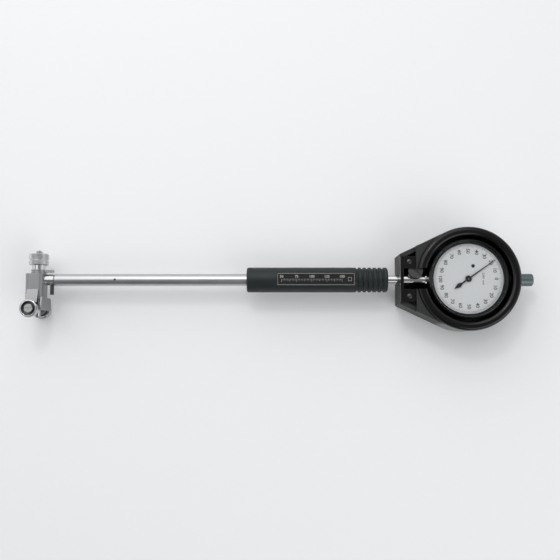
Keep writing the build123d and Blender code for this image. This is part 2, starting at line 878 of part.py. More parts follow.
def spindle_cap():
    """The cap over the spindle's rear end, screwed onto the case's upper boss."""
    boss_end = case_radius + cap_boss_reach
    thread = cap_boss_radius + slip_gap
    outline = [
        (thread, cap_start),
        (cap_radius, cap_start),
        (cap_radius, cap_end - cap_edge),
        (cap_radius - cap_edge, cap_end),
        (0, cap_end),
        (0, cap_end - cap_crown),
        (cap_bore, cap_end - cap_crown),
        (cap_bore, boss_end + seat_gap),
        (thread, boss_end + seat_gap),
    ]
    return turned(outline, right)


def bezel():
    """The rotatable bezel: skirt over the case, land over the face, seat for the crystal."""
    face_top = face_level + face_thickness + lens_gap
    skirt_bore = case_radius + bezel_skirt_gap
    outline = [
        (skirt_bore, bezel_bottom),
        (bezel_radius, bezel_bottom),
        (bezel_radius, bezel_top - bezel_edge),
        (bezel_radius - bezel_edge, bezel_top),
        (crystal_radius + bezel_edge, bezel_top),
        (crystal_radius + lens_gap, crystal_level + crystal_thickness),
        (crystal_radius + lens_gap, crystal_level - lens_gap),
        (bezel_opening, crystal_level - lens_gap),
        (bezel_opening, face_top),
        (face_radius + lens_gap, face_top),
        (face_radius + lens_gap, case_front + seat_gap),
        (skirt_bore, case_front + seat_gap),
    ]
    return turned(outline, up)


def crystal():
    """The slightly domed window."""
    height = crystal_thickness + crystal_dome
    return domed(crystal_radius, height, crystal_dome, up, (0, 0, crystal_level))


def dial_face():
    """The printed face, held in the bezel."""
    outline = [
        (face_hole, face_level),
        (face_radius, face_level),
        (face_radius, face_level + face_thickness),
        (face_hole, face_level + face_thickness),
    ]
    return turned(outline, up)


def pointer():
    """The stamped pointer with its hub and spade counterweight."""
    root, tip = pointer_root_width / 2, pointer_tip_width / 2
    needle = [(0, -root), (pointer_length, -tip), (pointer_length, tip), (0, root)]
    spade = [
        (0, -root),
        (0, root),
        (-pointer_tail * spade_start_share, root),
        (-pointer_tail * spade_wide_share, pointer_spade_width / 2),
        (-pointer_tail, 0),
        (-pointer_tail * spade_wide_share, -pointer_spade_width / 2),
        (-pointer_tail * spade_start_share, -root),
    ]
    blank = plate(needle, pointer_level, pointer_thickness) + plate(spade, pointer_level, pointer_thickness)
    blank += bar(pointer_hub, pointer_thickness, up, (0, 0, pointer_level))
    blank -= bar(arbor_radius, pointer_thickness + 2 * overrun, up, (0, 0, pointer_level - overrun))
    return Rot(0, 0, pointer_rest_angle) * blank


# Movement of the dial
first_pitch = first_module / 2
second_pitch = second_module / 2
second_centres = second_pitch * (second_wheel_teeth + centre_pinion_teeth)
first_centres = first_pitch * (first_wheel_teeth + second_pinion_teeth)
second_x = second_centres * cos(radians(second_arbor_angle))
second_y = second_centres * sin(radians(second_arbor_angle))
first_y = -rack_line - rack_pinion_radius
first_x = second_x + (first_centres**2 - (second_y - first_y) ** 2) ** 0.5
first_to_second = atan2(second_y - first_y, second_x - first_x)
second_to_centre = atan2(-second_y, -second_x)
first_place, second_place = (first_x, first_y), (second_x, second_y)
arbor_bottom = rear_plate_level - plate_thickness
arbor_top = front_plate_level + plate_thickness


def spindle():
    """The spindle, with a short rack cut in its side for the first pinion."""
    piece = bar(spindle_radius, spindle_front + spindle_back, right, (-spindle_front, 0, 0))
    piece -= bar(tip_stud_radius, tip_stud_length + seat_gap, right, (-spindle_front, 0, 0))
    module = rack_pitch / pi
    tip, root = rack_line + addendum_share * module, rack_line - dedendum_share * module
    half_run = rack_gap_count * rack_pitch / 2 + rack_run_out
    flat_middle = first_x - measuring_travel / 2
    low = (flat_middle - half_run, -spindle_radius - overrun, -spindle_radius)
    piece -= block(low, (flat_middle + half_run, -tip, spindle_radius))
    wide = rack_pitch / 2 - tooth_tip_share * rack_pitch
    narrow = rack_pitch / 2 - tooth_root_share * rack_pitch
    mouth = wide + (wide - narrow) / (tip - root) * overrun
    for gap in range(rack_gap_count):
        x = first_x + (gap - rack_gap_count // 2 - 1) * rack_pitch
        outer_y = -tip - overrun
        cut = [(x - mouth, outer_y), (x + mouth, outer_y), (x + narrow, -root), (x - narrow, -root)]
        piece -= plate(cut, -spindle_radius, 2 * spindle_radius)
    return piece


def spindle_tip():
    """The screwed-in tip that rests on the push rod."""
    flange_end = spindle_front + tip_flange
    piece = bar(tip_stud_radius - slip_gap, tip_stud_length, right, (-spindle_front, 0, 0))
    outline = [
        (0, spindle_front),
        (tip_flange_radius - tip_flange_edge, spindle_front),
        (tip_flange_radius, spindle_front + tip_flange_edge),
        (tip_flange_radius, flange_end),
        (0, flange_end),
    ]
    piece += turned(outline, left)
    ball_start = slip_gap - flange_end
    return piece + domed(tip_ball_radius, tip_end + ball_start, tip_ball_radius, left, (ball_start, 0, 0))


def arbor(place, bottom=arbor_bottom, top=arbor_top):
    """A plain arbor between two levels."""
    return bar(arbor_radius, top - bottom, up, (*place, bottom))


def pinion_on(place, teeth, pitch, mate_level, mate_angle):
    """A pinion on an arbor, with a gap turned towards the tooth of its mate."""
    pinion = gear(teeth, pitch * teeth, pinion_face, mate_angle + pi + pi / teeth)
    return Pos(*place, mate_level - (pinion_face - wheel_thickness) / 2) * pinion


def wheel_on(place, level, teeth, pitch, tooth_angle):
    """A wheel with a hole for its arbor."""
    wheel = gear(teeth, pitch * teeth, wheel_thickness, tooth_angle)
    return Pos(*place, level) * (wheel - bar(arbor_radius, wheel_thickness, up, (0, 0, 0)))


def first_arbor():
    """The arbor whose pinion runs on the rack."""
    pinion = gear(rack_pinion_teeth, rack_pinion_radius, rack_pinion_face, pi / 2)
    return arbor(first_place) + Pos(*first_place, -rack_pinion_face / 2) * pinion


def first_wheel():
    """The wheel on the first arbor."""
    return wheel_on(first_place, first_wheel_level, first_wheel_teeth, first_pitch, first_to_second)


def second_arbor():
    """The arbor between the two wheels' meshes."""
    pinion = pinion_on(second_place, second_pinion_teeth, first_pitch, first_wheel_level, first_to_second)
    return arbor(second_place) + pinion


def second_wheel():
    """The wheel on the second arbor."""
    return wheel_on(second_place, second_wheel_level, second_wheel_teeth, second_pitch, second_to_centre)


def centre_arbor():
    """The arbor that carries the pointer."""
    pinion = pinion_on((0, 0), centre_pinion_teeth, second_pitch, second_wheel_level, second_to_centre)
    return arbor((0, 0), cock_level, pointer_level + pointer_thickness) + pinion


def pivot_holes(places, level):
    """The pivot holes that a plate at this level needs."""
    radius = arbor_radius + pivot_gap
    return [bar(radius, plate_thickness + 2 * overrun, up, (x, y, level - overrun)) for x, y in places]


def rear_plate():
    """The movement's rear plate."""
    disc = bar(case_bore - case_ledge - plate_clear, plate_thickness, down, (0, 0, rear_plate_level))
    for hole in pivot_holes([first_place, second_place], arbor_bottom):
        disc -= hole
    return disc


def front_plate():
    """The movement's front plate, which lies on the case's ledge."""
    disc = bar(case_bore - plate_clear / 2, plate_thickness, up, (0, 0, front_plate_level))
    for hole in pivot_holes([(0, 0), first_place, second_place], front_plate_level):
        disc -= hole
    return disc


def plate_pillars():
    """The pillars that hold the two plates apart."""
    height = front_plate_level - rear_plate_level
    places = around(pillar_circle, pillar_angles, rear_plate_level)
    return Compound([bar(pillar_radius, height, up, place) for place in places])


def centre_cock():
    """The cock over the spindle that holds the centre arbor's lower pivot."""
    half, top = cock_width / 2, cock_level + cock_thickness
    cock = block((-half, -half, cock_level), (half, cock_reach, top))
    cock += bar(cock_foot_radius, top - rear_plate_level, up, (0, cock_reach, rear_plate_level))
    return cock - bar(arbor_radius + pivot_gap, top + overrun, up, (0, 0, cock_level - overrun))


# Protection cover
def cover_outline(inset):
    """The cover's plan: its ring drawn out to the foot, inset by the given wall."""
    ring = Circle(cover_radius - inset)
    foot_x = -cover_foot + inset
    half = cover_foot_half - inset
    foot = Polyline((foot_x, -half), (foot_x, half), (foot_x + cover_wall, 0), close=True)
    return make_hull(ring.edges() + foot.edges())


def cover_ring():
    """The ring of the cover with its rounded rim."""
    middle = (cover_radius - cover_rim_round, cover_bore + cover_rim_round)
    arc_end = cover_rim - cover_rim_round
    lower = [(cover_bore, 0, arc_end), (cover_bore, 0, cover_back + cover_base_edge)]
    lower += [(cover_radius, 0, cover_back + cover_base_edge), (cover_radius, 0, arc_end)]
    side = Polyline(*lower)
    lean = cover_rim_round * cos(pi / 4)
    outer_top, inner_top = (middle[0], 0, cover_rim), (middle[1], 0, cover_rim)
    outer = ThreePointArc((cover_radius, 0, arc_end), (middle[0] + lean, 0, arc_end + lean), outer_top)
    inner = ThreePointArc(inner_top, (middle[1] - lean, 0, arc_end + lean), (cover_bore, 0, arc_end))
    return revolve(make_face(side + outer + Line(outer_top, inner_top) + inner), Axis.Z)


def protection_cover():
    """The moulded cover that the dial sits in, open to the front."""
    floor_top = cover_back + cover_floor
    blank = Pos(0, 0, cover_back) * extrude(cover_outline(0), skirt_top - cover_back)
    blank = chamfer(blank.edges().group_by(Axis.Z)[0], cover_base_edge)
    cover = blank + cover_ring()
    cover -= bar(cover_bore, cover_rim - floor_top + overrun, up, (0, 0, floor_top))
    # The hollow under the skirt's front plate
    hollow = Pos(0, 0, floor_top) * extrude(cover_outline(cover_wall), skirt_top - skirt_plate - floor_top)
    inner_foot = -cover_foot + cover_foot_wall
    limits = block((inner_foot, -cover_radius, floor_top), (-skirt_start, cover_radius, skirt_top))
    cover -= hollow & limits
    # The window over the clamp, open into the dial's pocket
    low = (inner_foot, -window_half, floor_top)
    cover -= block(low, (-skirt_start, window_half, cover_rim + overrun))
    # The seat of the keeper, its screw bosses, and the notch for the neck
    seat_end = -cover_foot + keeper_length
    low = (-cover_foot - overrun, -cover_radius, keeper_level)
    cover -= block(low, (seat_end, cover_radius, cover_rim))
    screw_x = -cover_foot + keeper_screw_inset
    for side in (-1, 1):
        place = (screw_x, side * keeper_screw_half, cover_back + cover_floor / 2)
        height = keeper_level - place[2]
        cover += bar(keeper_boss_radius, height, up, place)
        low_y = place[1] - keeper_web / 2
        low = (inner_foot - cover_foot_wall / 2, low_y, place[2])
        cover += block(low, (screw_x, low_y + keeper_web, keeper_level))
        cover -= bar(keeper_screw_radius, keeper_screw_depth, down, (screw_x, place[1], keeper_level))
    wall = cover_foot_wall + 2 * overrun
    cover -= bar(notch_half, wall, right, (-cover_foot - overrun, 0, 0))
    low = (-cover_foot - overrun, -notch_half, 0)
    cover -= block(low, (low[0] + wall, notch_half, cover_rim))
    cap_hole = bar(cap_hole_radius, cover_radius - cap_hole_start + overrun, right, (cap_hole_start, 0, 0))
    return cover - cap_hole


def keeper_plate():
    """The U-shaped plate that closes the notch, with a tongue down to the neck."""
    start, end = -cover_foot, -cover_foot + keeper_length - keeper_gap
    top = keeper_level + keeper_thickness
    keeper = block((start, -keeper_half, keeper_level), (end, keeper_half, top))
    keeper -= block((start + cover_foot_wall, -window_half, keeper_level), (end + overrun, window_half, top))
    tongue_low = (start, -keeper_tongue_half, neck_radius + keeper_gap)
    keeper += block(tongue_low, (start + cover_foot_wall, keeper_tongue_half, keeper_level))
    for side in (-1, 1):
        place = (start + keeper_screw_inset, side * keeper_screw_half, keeper_level)
        keeper -= bar(keeper_screw_radius, keeper_thickness, up, place)
    return keeper


def keeper_screws():
    """The two round-headed screws of the keeper."""
    screws = []
    for side in (-1, 1):
        place = (-cover_foot + keeper_screw_inset, side * keeper_screw_half, keeper_level + keeper_thickness)
        head = domed(keeper_head_radius, keeper_head, keeper_head / 2, up, place)
        screws.append(head + bar(keeper_screw_radius, keeper_thickness + keeper_screw_depth, down, place))
    return Compound(screws)


bar_pieces = {
    "head_body": head_body(),
    "neck_screw": neck_screw(),
    "anvil_sleeve": anvil_sleeve(),
    "anvil": anvil(),
    "anvil_nut": anvil_nut(),
    "contact_bush": contact_bush(),
    "contact_point": contact_point(),
    "bell_crank": bell_crank(),
    "crank_pin": crank_pin(),
    "guide_bridge": guide_bridge(),
    "guide_pins": guide_pins(),
    "upper_roller": roller(1),
    "lower_roller": roller(-1),
    "roller_screws": roller_screws(),
    "tube": tube(),
    "push_rod": push_rod(),
    "front_rod_bush": rod_bush(front_bush_station) - bush_pin(),
    "bush_pin": bush_pin(),
    "rear_rod_bush": rod_bush(rear_bush_station),
    "grip": grip(),
    "label_plate": label_plate(),
    "dial_clamp": dial_clamp(),
    "clamp_screw": clamp_screw(),
    "clamp_nut": clamp_nut(),
}
dial_pieces = {
    "dial_case": dial_case(),
    "back_cover": back_cover(),
    "back_screws": back_screws(),
    "stem": stem(),
    "spindle_cap": spindle_cap(),
    "bezel": bezel(),
    "crystal": crystal(),
    "dial_face": dial_face(),
    "pointer": pointer(),
    "spindle": spindle(),
    "spindle_tip": spindle_tip(),
    "first_arbor": first_arbor(),
    "first_wheel": first_wheel(),
    "second_arbor": second_arbor(),
    "second_wheel": second_wheel(),
    "centre_arbor": centre_arbor(),
    "rear_plate": rear_plate(),
    "front_plate": front_plate(),
    "plate_pillars": plate_pillars(),
    "centre_cock": centre_cock(),
    "protection_cover": protection_cover(),
    "keeper_plate": keeper_plate(),
    "keeper_screws": keeper_screws(),
}

os.makedirs("parts", exist_ok=True)
bar_place = Pos(-middle_x, 0, roller_outer)
dial_place = Pos(dial_centre_x - middle_x, 0, roller_outer)
for place, pieces in ((bar_place, bar_pieces), (dial_place, dial_pieces)):
    for name, piece in pieces.items():
        export_step(place * piece, os.path.join("parts", name + ".step"))
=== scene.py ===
import math

import bmesh
import bpy
from mathutils import Matrix, Vector


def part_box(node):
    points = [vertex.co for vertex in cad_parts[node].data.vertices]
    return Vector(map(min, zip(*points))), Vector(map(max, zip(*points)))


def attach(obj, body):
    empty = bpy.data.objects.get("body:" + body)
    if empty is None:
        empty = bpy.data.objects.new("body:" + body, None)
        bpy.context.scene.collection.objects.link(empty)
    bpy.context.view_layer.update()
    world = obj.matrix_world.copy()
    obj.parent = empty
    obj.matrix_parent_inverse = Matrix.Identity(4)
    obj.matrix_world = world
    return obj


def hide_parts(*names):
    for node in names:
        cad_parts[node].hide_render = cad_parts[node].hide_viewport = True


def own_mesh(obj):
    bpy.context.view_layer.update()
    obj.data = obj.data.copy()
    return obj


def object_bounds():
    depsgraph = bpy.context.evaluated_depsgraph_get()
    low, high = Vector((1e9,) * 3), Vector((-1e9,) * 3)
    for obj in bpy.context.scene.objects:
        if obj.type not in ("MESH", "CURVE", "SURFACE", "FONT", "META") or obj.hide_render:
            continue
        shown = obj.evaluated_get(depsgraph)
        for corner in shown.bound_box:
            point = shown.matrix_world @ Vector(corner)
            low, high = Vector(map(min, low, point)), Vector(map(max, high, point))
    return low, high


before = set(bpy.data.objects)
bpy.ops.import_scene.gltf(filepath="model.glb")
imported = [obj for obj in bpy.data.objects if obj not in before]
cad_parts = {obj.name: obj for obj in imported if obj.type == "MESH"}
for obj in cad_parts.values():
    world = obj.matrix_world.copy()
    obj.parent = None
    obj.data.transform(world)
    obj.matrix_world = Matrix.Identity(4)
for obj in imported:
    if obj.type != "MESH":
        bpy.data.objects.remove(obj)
cad_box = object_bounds()
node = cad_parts


# Head body: one milled steel block with a fine blasted finish and bright edges. The anvil's sleeve is screwed
# into the boss on top of it, the bridge slides in its flanks, and the tube fits over its polished spigot.
def add(tree, kind, inputs=None, **settings):
    """One node of a tree, with its settings and with its inputs linked or set."""
    made = tree.nodes.new(kind)
    for key, value in settings.items():
        setattr(made, key, value)
    for key, value in (inputs or {}).items():
        if isinstance(value, bpy.types.NodeSocket):
            tree.links.new(value, made.inputs[key])
        else:
            made.inputs[key].default_value = value
    return made


def reckon(tree, operation, *values):
    """The result of one sum in a tree."""
    return add(tree, "ShaderNodeMath", dict(enumerate(values)), operation=operation).outputs["Value"]


def rise(tree, value, start, end, low=0.0, high=1.0):
    """What runs from low to high while a value runs from start to end."""
    made = add(tree, "ShaderNodeMapRange", {
        "Value": value, "From Min": start, "From Max": end, "To Min": low, "To Max": high,
    })
    return made.outputs["Result"]


def take_apart(tree, vector):
    """The X, Y and Z of a vector."""
    return add(tree, "ShaderNodeSeparateXYZ", {"Vector": vector}).outputs


def put_together(tree, **parts):
    """A vector from its X, Y and Z."""
    return add(tree, "ShaderNodeCombineXYZ", parts).outputs["Vector"]


def start_finish(name, colour, metallic, roughness, **more):
    """A new finish that starts as one plain surface."""
    material = bpy.data.materials.new(name)
    material.use_nodes = True
    surface = material.node_tree.nodes["Principled BSDF"]
    settings = {"Base Color": (*colour, 1), "Metallic": metallic, "Roughness": roughness, **more}
    for key, value in settings.items():
        surface.inputs[key].default_value = value
    return material


def place_on(tree, scale=(1, 1, 1), centre=(0, 0, 0)):
    """Object coordinates measured from a centre and stretched."""
    place = add(tree, "ShaderNodeTexCoord")
    moved = add(tree, "ShaderNodeMapping", {
        "Vector": place.outputs["Object"],
        "Location": [-c * s for c, s in zip(centre, scale)],
        "Scale": scale,
    })
    return moved.outputs["Vector"]


def place_around(tree, axis, centre):
    """Distance from a piece's axis and along it, for the marks that a lathe leaves."""
    spot = take_apart(tree, place_on(tree, centre=centre))
    side, other = [spot[a] for a in "XYZ" if a != axis]
    across = put_together(tree, X=side, Y=other)
    radius = add(tree, "ShaderNodeVectorMath", {0: across}, operation="LENGTH")
    return put_together(tree, X=radius.outputs["Value"], Y=spot[axis])


def mark_surface(material, fineness, depth, gloss_spread, tint, place=None):
    """Tool marks as a fine bump, with a gloss and a shade that wander over the surface."""
    tree = material.node_tree
    surface = tree.nodes["Principled BSDF"]
    if place is None:
        place = place_on(tree)
    marks = add(tree, "ShaderNodeTexNoise", {"Vector": place, "Scale": fineness, "Detail": 3.0})
    bump = add(tree, "ShaderNodeBump", {"Height": marks.outputs["Fac"], "Distance": depth})
    tree.links.new(bump.outputs["Normal"], surface.inputs["Normal"])
    cloud = add(tree, "ShaderNodeTexNoise", {"Vector": place_on(tree), "Scale": 90.0, "Detail": 4.0})
    rough = surface.inputs["Roughness"].default_value
    gloss = rise(tree, cloud.outputs["Fac"], start=0.3, end=0.7,
                 low=rough - gloss_spread, high=rough + gloss_spread)
    tree.links.new(gloss, surface.inputs["Roughness"])
    light = surface.inputs["Base Color"].default_value[:]
    dark = [c * (1 - tint) for c in light[:3]] + [1]
    shade = add(tree, "ShaderNodeMix", {0: cloud.outputs["Fac"], 6: dark, 7: light}, data_type="RGBA")
    tree.links.new(shade.outputs[2], surface.inputs["Base Color"])


def change_where(material, mask, colour, roughness):
    """Another shade and gloss on a finish where the mask is 1."""
    tree = material.node_tree
    surface = tree.nodes["Principled BSDF"]
    for key, value, kind, before, after, result in (("Base Color", (*colour, 1), "RGBA", 6, 7, 2),
                                                    ("Roughness", roughness, "FLOAT", 2, 3, 0)):
        mixed = add(tree, "ShaderNodeMix", {
            0: mask, before: surface.inputs[key].links[0].from_socket, after: value,
        }, data_type=kind)
        tree.links.new(mixed.outputs[result], surface.inputs[key])


def wear_edges(material, colour, roughness, width):
    """Edges that are rubbed in patches to another shade and gloss, found where the surface turns."""
    tree = material.node_tree
    rounded = add(tree, "ShaderNodeBevel", {"Radius": width}, samples=4)
    shape = add(tree, "ShaderNodeNewGeometry")
    alike = add(tree, "ShaderNodeVectorMath", {
        0: rounded.outputs["Normal"], 1: shape.outputs["Normal"],
    }, operation="DOT_PRODUCT")
    turning = rise(tree, alike.outputs["Value"], start=0.995, end=0.90)
    patches = add(tree, "ShaderNodeTexNoise", {"Vector": place_on(tree), "Scale": 420.0, "Detail": 4.0})
    rubbed = rise(tree, patches.outputs["Fac"], start=0.4, end=0.62, low=0.15)
    change_where(material, reckon(tree, "MULTIPLY", turning, rubbed), colour, roughness)


def new_modifier_tree(name, inputs):
    """An empty Geometry Nodes tree with named inputs, its group input and its group output."""
    tree = bpy.data.node_groups.new(name, "GeometryNodeTree")
    tree.interface.new_socket("Geometry", in_out="INPUT", socket_type="NodeSocketGeometry")
    for key, kind in inputs.items():
        tree.interface.new_socket(key, in_out="INPUT", socket_type=kind)
    tree.interface.new_socket("Geometry", in_out="OUTPUT", socket_type="NodeSocketGeometry")
    return tree, add(tree, "NodeGroupInput").outputs, add(tree, "NodeGroupOutput").inputs


def run_tree(piece, tree, **values):
    """Put a tree on a piece as a modifier and give the tree's named inputs their values."""
    modifier = piece.modifiers.new(tree.name, "NODES")
    modifier.node_group = tree
    for item in tree.interface.items_tree:
        key = item.name.replace(" ", "_")
        if item.in_out == "INPUT" and key in values:
            modifier[item.identifier] = values[key]


weld, weld_in, weld_out = new_modifier_tree("weld and smooth", {"Sharp Angle": "NodeSocketFloat"})
welded = add(weld, "GeometryNodeMergeByDistance", {"Geometry": weld_in["Geometry"], "Distance": 1e-6})
fold = add(weld, "GeometryNodeInputMeshEdgeAngle")
sharp = add(weld, "FunctionNodeCompare", {
    0: fold.outputs["Unsigned Angle"], 1: weld_in["Sharp Angle"],
}, data_type="FLOAT", operation="GREATER_THAN")
shaded = add(weld, "GeometryNodeSetShadeSmooth", {"Geometry": welded.outputs["Geometry"]}, domain="FACE")
edged = add(weld, "GeometryNodeSetMeshNormal", {
    "Mesh": shaded.outputs["Geometry"], "Remove Custom": True, "Edge Sharpness": sharp.outputs["Result"],
}, mode="SHARPNESS")
weld.links.new(edged.outputs["Mesh"], weld_out["Geometry"])
sharp_angle = math.radians(28)
flat_angle = math.radians(0.3)
corner_angle = math.radians(35)


def finish_node(name, material, edge=0.00012):
    """Give a CAD node its finish, smooth shading and edges that are broken as a fitter breaks them."""
    piece = node[name]
    piece.data.materials.clear()
    piece.data.materials.append(material)
    run_tree(piece, weld, Sharp_Angle=sharp_angle)
    if edge:
        flat = piece.modifiers.new("one face for each flat", "DECIMATE")
        flat.decimate_type = "DISSOLVE"
        flat.angle_limit = flat_angle
        broken = piece.modifiers.new("broken edges", "BEVEL")
        broken.width = edge
        broken.segments = 2
        broken.limit_method = "ANGLE"
        broken.angle_limit = corner_angle
        broken.harden_normals = True


def middle_of(name):
    """The middle of a CAD node's box."""
    return [(low + high) / 2 for low, high in zip(*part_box(name))]


satin_steel = start_finish("satin_steel", (0.32, 0.32, 0.33), metallic=1.0, roughness=0.38)
mark_surface(satin_steel, fineness=5200, depth=0.00002, gloss_spread=0.05, tint=0.18)
line_x = middle_of("anvil_sleeve")[0]
bar_z = middle_of("tube")[2]
spigot_radius = 0.0040
spigot_start = line_x + 0.0048
polish_skin = 0.0001
satin_tree = satin_steel.node_tree
satin_spot = take_apart(satin_tree, place_around(satin_tree, "X", (0, 0, bar_z)))
near_bar = rise(satin_tree, satin_spot["X"], spigot_radius + 2 * polish_skin, spigot_radius + polish_skin)
past_block = rise(satin_tree, satin_spot["Y"], spigot_start + polish_skin, spigot_start + 3 * polish_skin)
polished = reckon(satin_tree, "MULTIPLY", near_bar, past_block)
unpolished = reckon(satin_tree, "SUBTRACT", 1.0, polished)
satin_tree.links.new(unpolished, satin_tree.nodes["Bump"].inputs["Strength"])
change_where(satin_steel, polished, (0.56, 0.56, 0.56), roughness=0.15)
wear_edges(satin_steel, (0.66, 0.66, 0.66), roughness=0.16, width=0.0004)
finish_node("head_body", satin_steel, edge=0.0002)


# Neck screw: a small slotted screw of blackened steel, rubbed bright on its edges. It is screwed into the
# spigot from the contact's side and locks the tube there.
black_screw = start_finish("black_screw", (0.09, 0.09, 0.095), metallic=1.0, roughness=0.32)
mark_surface(black_screw, fineness=5200, depth=0.000008, gloss_spread=0.05, tint=0.3)
wear_edges(black_screw, (0.40, 0.39, 0.37), roughness=0.25, width=0.0002)
finish_node("neck_screw", black_screw, edge=0.00008)


# Small parts of the head and the drive: pins, screws, anvil, contact, bell crank and push rod, turned or
# milled from hardened steel and left a little darker than the plated parts. The contact is rounded more than
# the rest, so that its inner rim clears the crank at the end of the travel.
hard_steel = start_finish("hard_steel", (0.42, 0.42, 0.42), metallic=1.0, roughness=0.22)
mark_surface(hard_steel, fineness=6500, depth=0.00001, gloss_spread=0.05, tint=0.25)
for name in ("anvil", "bell_crank", "crank_pin", "guide_pins", "push_rod", "roller_screws"):
    finish_node(name, hard_steel, edge=0.00008)
finish_node("contact_point", hard_steel, edge=0.0003)


# Anvil's sleeve and the contact's bush: turned steel, polished on the lathe, fitted into the block on the
# measuring line.
head_steel = start_finish("head_steel", (0.60, 0.60, 0.59), metallic=1.0, roughness=0.13)
mark_surface(head_steel, fineness=5200, depth=0.000006, gloss_spread=0.04, tint=0.12,
             place=place_around(head_steel.node_tree, "Y", (line_x, 0, bar_z)))
for name in ("anvil_sleeve", "contact_bush"):
    finish_node(name, head_steel)


# Anvil's lock nut: a turned steel nut with straight knurling rolled in two bands and a plain groove between
# them, screwed down by hand on the sleeve so that its rim holds the anvil's flange.
def evaluated_mesh(name, source):
    """The finished shape of an object as a mesh of its own; the source goes away."""
    bpy.context.view_layer.update()
    ready = source.evaluated_get(bpy.context.evaluated_depsgraph_get())
    mesh = bpy.data.meshes.new_from_object(ready)
    mesh.name = name
    bpy.data.objects.remove(source)
    return mesh


def new_source(name, shape):
    """A new object in the scene, for a mesh or a line of words."""
    source = bpy.data.objects.new(name, shape)
    bpy.context.scene.collection.objects.link(source)
    return source


def keep_shape(name, shape):
    """A mesh from the shape that a bmesh holds; the bmesh goes away."""
    mesh = bpy.data.meshes.new(name)
    shape.to_mesh(mesh)
    shape.free()
    return mesh


def turned_mesh(name, outline, steps):
    """A closed turned shape about Z from pairs of radius and height."""
    shape = bmesh.new()
    ring = [shape.verts.new((radius, 0, height)) for radius, height in outline]
    edges = [shape.edges.new((ring[i - 1], ring[i])) for i in range(len(ring))]
    bmesh.ops.spin(shape, geom=ring + edges, axis=(0, 0, 1), angle=math.tau, steps=steps, use_merge=True)
    bmesh.ops.remove_doubles(shape, verts=shape.verts, dist=1e-7)
    bmesh.ops.recalc_face_normals(shape, faces=shape.faces)
    return keep_shape(name, shape)


def coat_and_end(tree, tree_out, geometry, material):
    """Give what a tree has made its material and hand it over."""
    coated = add(tree, "GeometryNodeSetMaterial", {"Geometry": geometry, "Material": material})
    tree.links.new(coated.outputs["Geometry"], tree_out["Geometry"])


knurling, knurling_in, knurling_out = new_modifier_tree("knurling round a band", {
    "Ridges": "NodeSocketInt", "Crest Radius": "NodeSocketFloat", "Ridge Size": "NodeSocketFloat",
    "Band Start": "NodeSocketFloat", "Band Width": "NodeSocketFloat", "Steel": "NodeSocketMaterial",
})
ridge_places = add(knurling, "GeometryNodeMeshCircle", {
    "Vertices": knurling_in["Ridges"],
    "Radius": reckon(knurling, "SUBTRACT", knurling_in["Crest Radius"], knurling_in["Ridge Size"]),
})
ridge = add(knurling, "GeometryNodeMeshCylinder", {
    "Vertices": 4, "Radius": knurling_in["Ridge Size"], "Depth": knurling_in["Band Width"],
})
ridge_spot = take_apart(knurling, add(knurling, "GeometryNodeInputPosition").outputs["Position"])
ridge_angle = reckon(knurling, "ARCTAN2", ridge_spot["Y"], ridge_spot["X"])
ridges = add(knurling, "GeometryNodeInstanceOnPoints", {
    "Points": ridge_places.outputs["Mesh"], "Instance": ridge.outputs["Mesh"],
    "Rotation": put_together(knurling, Z=ridge_angle),
})
band_half = reckon(knurling, "MULTIPLY", knurling_in["Band Width"], 0.5)
band_middle = reckon(knurling, "ADD", knurling_in["Band Start"], band_half)
band = add(knurling, "GeometryNodeTransform", {
    "Geometry": ridges.outputs["Instances"], "Translation": put_together(knurling, Z=band_middle),
})
band_real = add(knurling, "GeometryNodeRealizeInstances", {"Geometry": band.outputs["Geometry"]})
band_flat = add(knurling, "GeometryNodeSetShadeSmooth", {
    "Geometry": band_real.outputs["Geometry"], "Shade Smooth": False,
}, domain="FACE")
nut_whole = add(knurling, "GeometryNodeJoinGeometry")
knurling.links.new(knurling_in["Geometry"], nut_whole.inputs["Geometry"])
knurling.links.new(band_flat.outputs["Geometry"], nut_whole.inputs["Geometry"])
coat_and_end(knurling, knurling_out, nut_whole.outputs["Geometry"], knurling_in["Steel"])

knurled_steel = start_finish("knurled_steel", (0.64, 0.64, 0.64), metallic=1.0, roughness=0.35)
mark_surface(knurled_steel, fineness=4200, depth=0.00001, gloss_spread=0.06, tint=0.2)
nut_low, nut_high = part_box("anvil_nut")
nut_height = nut_high.y - nut_low.y
nut_crest = (nut_high.x - nut_low.x) / 2
nut_root = nut_crest - 0.0003
nut_bore, nut_hole, nut_rim, nut_chamfer = 0.00425, 0.00235, 0.0019, 0.0004
groove_start = 0.4 * nut_height
groove_end = groove_start + 0.0009
groove_slope = 0.0002
groove_floor = nut_root - 0.0005
nut_core = turned_mesh("nut_core", [
    (nut_bore, 0), (nut_root - nut_chamfer, 0), (nut_root, nut_chamfer),
    (nut_root, groove_start), (groove_floor, groove_start + groove_slope),
    (groove_floor, groove_end - groove_slope), (nut_root, groove_end),
    (nut_root, nut_height - nut_chamfer), (nut_root - nut_chamfer, nut_height),
    (nut_hole, nut_height), (nut_hole, nut_height - nut_rim), (nut_bore, nut_height - nut_rim),
], steps=96)
nut_source = new_source("nut_source", nut_core)
run_tree(nut_source, weld, Sharp_Angle=sharp_angle)
plain_rim = 0.0005
plain_by_groove = 0.0002
for start, end in ((plain_rim, groove_start - plain_by_groove),
                   (groove_end + plain_by_groove, nut_height - plain_rim)):
    run_tree(nut_source, knurling, Ridges=66, Crest_Radius=nut_crest, Ridge_Size=0.00037, Band_Start=start,
             Band_Width=end - start, Steel=knurled_steel)
nut_mesh = evaluated_mesh("lock_nut", nut_source)
nut_mesh.transform(Matrix.Translation((line_x, nut_low.y, bar_z)) @ Matrix.Rotation(-math.pi / 2, 4, "X"))
lock_nut = new_source("lock_nut", nut_mesh)
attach(lock_nut, "anvil_nut")
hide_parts("anvil_nut")


